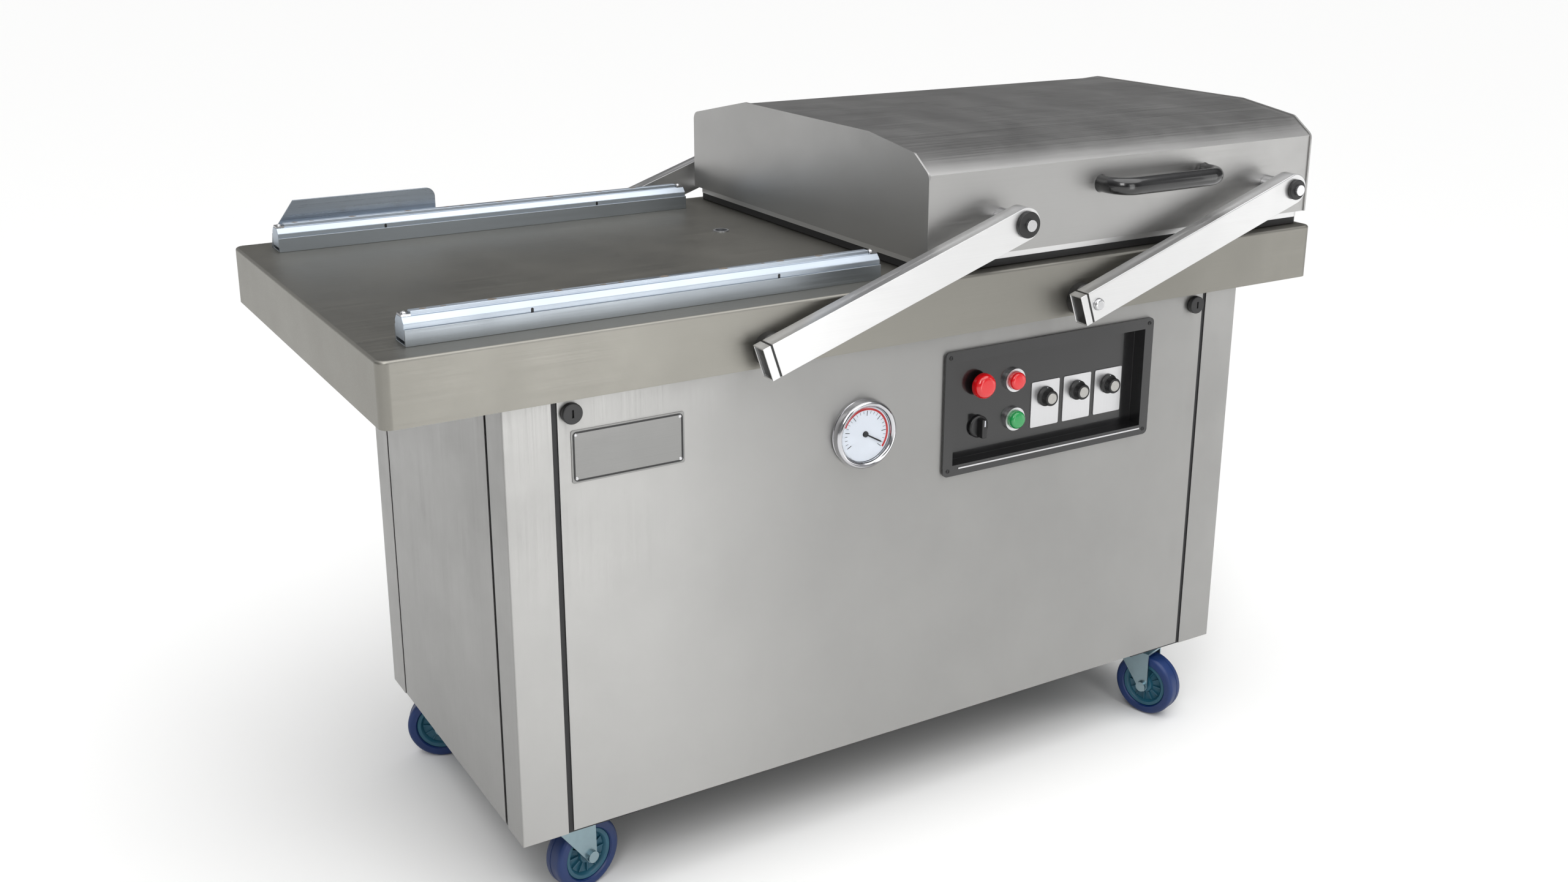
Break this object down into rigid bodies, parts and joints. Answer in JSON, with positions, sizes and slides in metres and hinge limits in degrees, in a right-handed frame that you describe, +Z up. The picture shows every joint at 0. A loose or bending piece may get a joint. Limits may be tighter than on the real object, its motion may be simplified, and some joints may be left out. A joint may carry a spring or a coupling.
{
  "type": "double chamber vacuum packing machine",
  "caption": "Floor-standing vacuum packer: steel table on a wheeled cabinet, with a domed lid that swings on parallel arms between a left and a right sealing chamber.",
  "frame": {"origin": "on the floor, under the middle of the table", "axes": "+X to the right along the table's length, +Y to the back, +Z up; the operator stands at -Y"},
  "size_m": [1.46, 0.7826, 0.957],
  "materials": {
    "table_steel": "brushed",
    "cabinet_steel": "brushed",
    "lid_steel": "brushed",
    "arm_steel": "satin",
    "shaft_steel": "turned",
    "thin_steel": "satin",
    "spring_steel": "bare",
    "pipe_metal": "satin",
    "zinc": "zinc plated",
    "plate_silver": "satin",
    "gauge_metal": "polished",
    "clear_glass": "clear",
    "black_frame": "matte black",
    "gloss_black": "gloss",
    "black_plastic": "matte",
    "black_rubber": "matte",
    "silicone": "matte",
    "bar_aluminium": "anodised",
    "bar_channel": "extruded",
    "pump_paint": "satin paint",
    "electric_parts": "satin",
    "red_plastic": "gloss",
    "green_plastic": "gloss",
    "knob_metal": "turned",
    "needle_paint": "matte",
    "blue_wheel": "polyurethane"
  },
  "bodies": {
    "root": {"deck_plate": "table_steel", "corner_posts": "cabinet_steel", "base_frame": "black_frame", "front_panel": "cabinet_steel", "rear_panel": "cabinet_steel", "side_panels": "cabinet_steel", "control_box": "gloss_black", "control_trim": "plate_silver", "gauge_case": "gauge_metal", "gauge_glass": "clear_glass", "nameplate": "plate_silver", "shaft_bushes": "black_plastic", "balance_springs": "spring_steel", "seal_bar_channels": "bar_channel", "air_bags": "black_rubber", "bag_stop_plate": "thin_steel", "vacuum_pump": "pump_paint", "pump_motor": "pump_paint", "vacuum_manifold": "pipe_metal", "electrics_tray": "electric_parts", "cable_gland": "black_plastic", "caster_plates": "zinc"},
    "left_arms": {"pivot_shaft_left": "shaft_steel", "arm_front_left": "arm_steel", "arm_rear_left": "arm_steel", "arm_caps_left": "black_plastic"},
    "right_arms": {"pivot_shaft_right": "shaft_steel", "arm_front_right": "arm_steel", "arm_rear_right": "arm_steel", "arm_caps_right": "black_plastic"},
    "lid": {"lid_shell": "lid_steel", "lid_gasket": "black_rubber", "lid_handle": "gloss_black", "lid_pads": "silicone", "lid_pad_holders": "bar_aluminium", "lid_pivot_bolts": "shaft_steel", "lid_pivot_washers": "black_plastic"},
    "seal_bar_left_front": {"seal_bar_left_front": "bar_aluminium"},
    "seal_bar_left_rear": {"seal_bar_left_rear": "bar_aluminium"},
    "seal_bar_right_front": {"seal_bar_right_front": "bar_aluminium"},
    "seal_bar_right_rear": {"seal_bar_right_rear": "bar_aluminium"},
    "emergency_stop": {"emergency_stop": "red_plastic"},
    "stop_button": {"stop_button": "red_plastic"},
    "start_button": {"start_button": "green_plastic"},
    "selector_knob": {"selector_knob": "black_plastic"},
    "timer_knob_1": {"timer_knob_1": "knob_metal"},
    "timer_knob_2": {"timer_knob_2": "knob_metal"},
    "timer_knob_3": {"timer_knob_3": "knob_metal"},
    "gauge_needle": {"gauge_needle": "needle_paint"},
    "lock_left": {"lock_left": "black_plastic"},
    "lock_right": {"lock_right": "black_plastic"},
    "pump_fan": {"pump_fan": "black_plastic"},
    "caster_fork_front_left": {"caster_fork_front_left": "zinc"},
    "caster_wheel_front_left": {"caster_wheel_front_left": "blue_wheel"},
    "caster_fork_front_right": {"caster_fork_front_right": "zinc"},
    "caster_wheel_front_right": {"caster_wheel_front_right": "blue_wheel"},
    "caster_fork_rear_left": {"caster_fork_rear_left": "zinc"},
    "caster_wheel_rear_left": {"caster_wheel_rear_left": "blue_wheel"},
    "caster_fork_rear_right": {"caster_fork_rear_right": "zinc"},
    "caster_wheel_rear_right": {"caster_wheel_rear_right": "blue_wheel"}
  },
  "joints": [
    {"name": "left_arms_swing", "type": "hinge", "parent": "root", "child": "left_arms", "pos_m": [-0.236, 0, 0.724], "axis": [0, -1, 0], "range_deg": [0, 142.5], "deforming": ["balance_springs"]},
    {"name": "lid_level", "type": "hinge", "parent": "left_arms", "child": "lid", "pos_m": [0.135, 0, 0.85], "axis": [0, -1, 0], "range_deg": [-142.5, 0]},
    {"name": "right_arms_swing", "type": "hinge", "parent": "root", "child": "right_arms", "pos_m": [0.268, 0, 0.724], "axis": [0, -1, 0], "range_deg": [0, 142.5]},
    {"name": "seal_bar_left_front_lift", "type": "slide", "parent": "root", "child": "seal_bar_left_front", "axis": [0, 0, 1], "range_m": [0, 0.01]},
    {"name": "seal_bar_left_rear_lift", "type": "slide", "parent": "root", "child": "seal_bar_left_rear", "axis": [0, 0, 1], "range_m": [0, 0.01]},
    {"name": "seal_bar_right_front_lift", "type": "slide", "parent": "root", "child": "seal_bar_right_front", "axis": [0, 0, 1], "range_m": [0, 0.01]},
    {"name": "seal_bar_right_rear_lift", "type": "slide", "parent": "root", "child": "seal_bar_right_rear", "axis": [0, 0, 1], "range_m": [0, 0.01]},
    {"name": "emergency_stop_press", "type": "slide", "parent": "root", "child": "emergency_stop", "axis": [0, 1, 0], "range_m": [0, 0.004], "stiffness_N_per_m": 800},
    {"name": "stop_button_press", "type": "slide", "parent": "root", "child": "stop_button", "axis": [0, 1, 0], "range_m": [0, 0.004], "stiffness_N_per_m": 800},
    {"name": "start_button_press", "type": "slide", "parent": "root", "child": "start_button", "axis": [0, 1, 0], "range_m": [0, 0.004], "stiffness_N_per_m": 800},
    {"name": "selector_turn", "type": "hinge", "parent": "root", "child": "selector_knob", "pos_m": [0.118, -0.312, 0.552], "axis": [0, 1, 0], "range_deg": [-45, 45]},
    {"name": "timer_knob_1_turn", "type": "hinge", "parent": "root", "child": "timer_knob_1", "pos_m": [0.238, -0.312, 0.577], "axis": [0, 1, 0], "range_deg": [0, 270]},
    {"name": "timer_knob_2_turn", "type": "hinge", "parent": "root", "child": "timer_knob_2", "pos_m": [0.297, -0.312, 0.577], "axis": [0, 1, 0], "range_deg": [0, 270]},
    {"name": "timer_knob_3_turn", "type": "hinge", "parent": "root", "child": "timer_knob_3", "pos_m": [0.356, -0.312, 0.577], "axis": [0, 1, 0], "range_deg": [0, 270]},
    {"name": "gauge_needle_turn", "type": "hinge", "parent": "root", "child": "gauge_needle", "pos_m": [-0.088, -0.338, 0.584], "axis": [0, -1, 0], "range_deg": [0, 250]},
    {"name": "lock_left_turn", "type": "hinge", "parent": "root", "child": "lock_left", "pos_m": [-0.502, -0.33, 0.682], "axis": [0, -1, 0], "range_deg": [0, 90]},
    {"name": "lock_right_turn", "type": "hinge", "parent": "root", "child": "lock_right", "pos_m": [0.502, -0.33, 0.682], "axis": [0, 1, 0], "range_deg": [0, 90]},
    {"name": "pump_fan_spin", "type": "hinge", "parent": "root", "child": "pump_fan", "pos_m": [-0.01, -0.07, 0.252], "axis": [1, 0, 0], "continuous": true},
    {"name": "caster_swivel_front_left", "type": "hinge", "parent": "root", "child": "caster_fork_front_left", "pos_m": [-0.512, -0.278, 0.11], "axis": [0, 0, 1], "continuous": true},
    {"name": "caster_roll_front_left", "type": "hinge", "parent": "caster_fork_front_left", "child": "caster_wheel_front_left", "pos_m": [-0.48483, -0.27123, 0.05], "axis": [-0.2419, 0.9703, 0], "continuous": true},
    {"name": "caster_swivel_front_right", "type": "hinge", "parent": "root", "child": "caster_fork_front_right", "pos_m": [0.482, -0.278, 0.11], "axis": [0, 0, 1], "continuous": true},
    {"name": "caster_roll_front_right", "type": "hinge", "parent": "caster_fork_front_right", "child": "caster_wheel_front_right", "pos_m": [0.49065, -0.30463, 0.05], "axis": [0.9511, 0.309, 0], "continuous": true},
    {"name": "caster_swivel_rear_left", "type": "hinge", "parent": "root", "child": "caster_fork_rear_left", "pos_m": [-0.506, 0.138, 0.11], "axis": [0, 0, 1], "continuous": true},
    {"name": "caster_roll_rear_left", "type": "hinge", "parent": "caster_fork_rear_left", "child": "caster_wheel_rear_left", "pos_m": [-0.53138, 0.14983, 0.05], "axis": [-0.4226, -0.9063, 0], "continuous": true},
    {"name": "caster_swivel_rear_right", "type": "hinge", "parent": "root", "child": "caster_fork_rear_right", "pos_m": [0.506, 0.138, 0.11], "axis": [0, 0, 1], "continuous": true},
    {"name": "caster_roll_rear_right", "type": "hinge", "parent": "caster_fork_rear_right", "child": "caster_wheel_rear_right", "pos_m": [0.51783, 0.16338, 0.05], "axis": [-0.9063, 0.4226, 0], "continuous": true}
  ],
  "couplings": [
    {"joint": "lid_level", "follows": "left_arms_swing", "ratio": -1},
    {"joint": "right_arms_swing", "follows": "left_arms_swing", "ratio": 1},
    {"joint": "seal_bar_left_rear_lift", "follows": "seal_bar_left_front_lift", "ratio": 1},
    {"joint": "seal_bar_right_rear_lift", "follows": "seal_bar_right_front_lift", "ratio": 1}
  ]
}
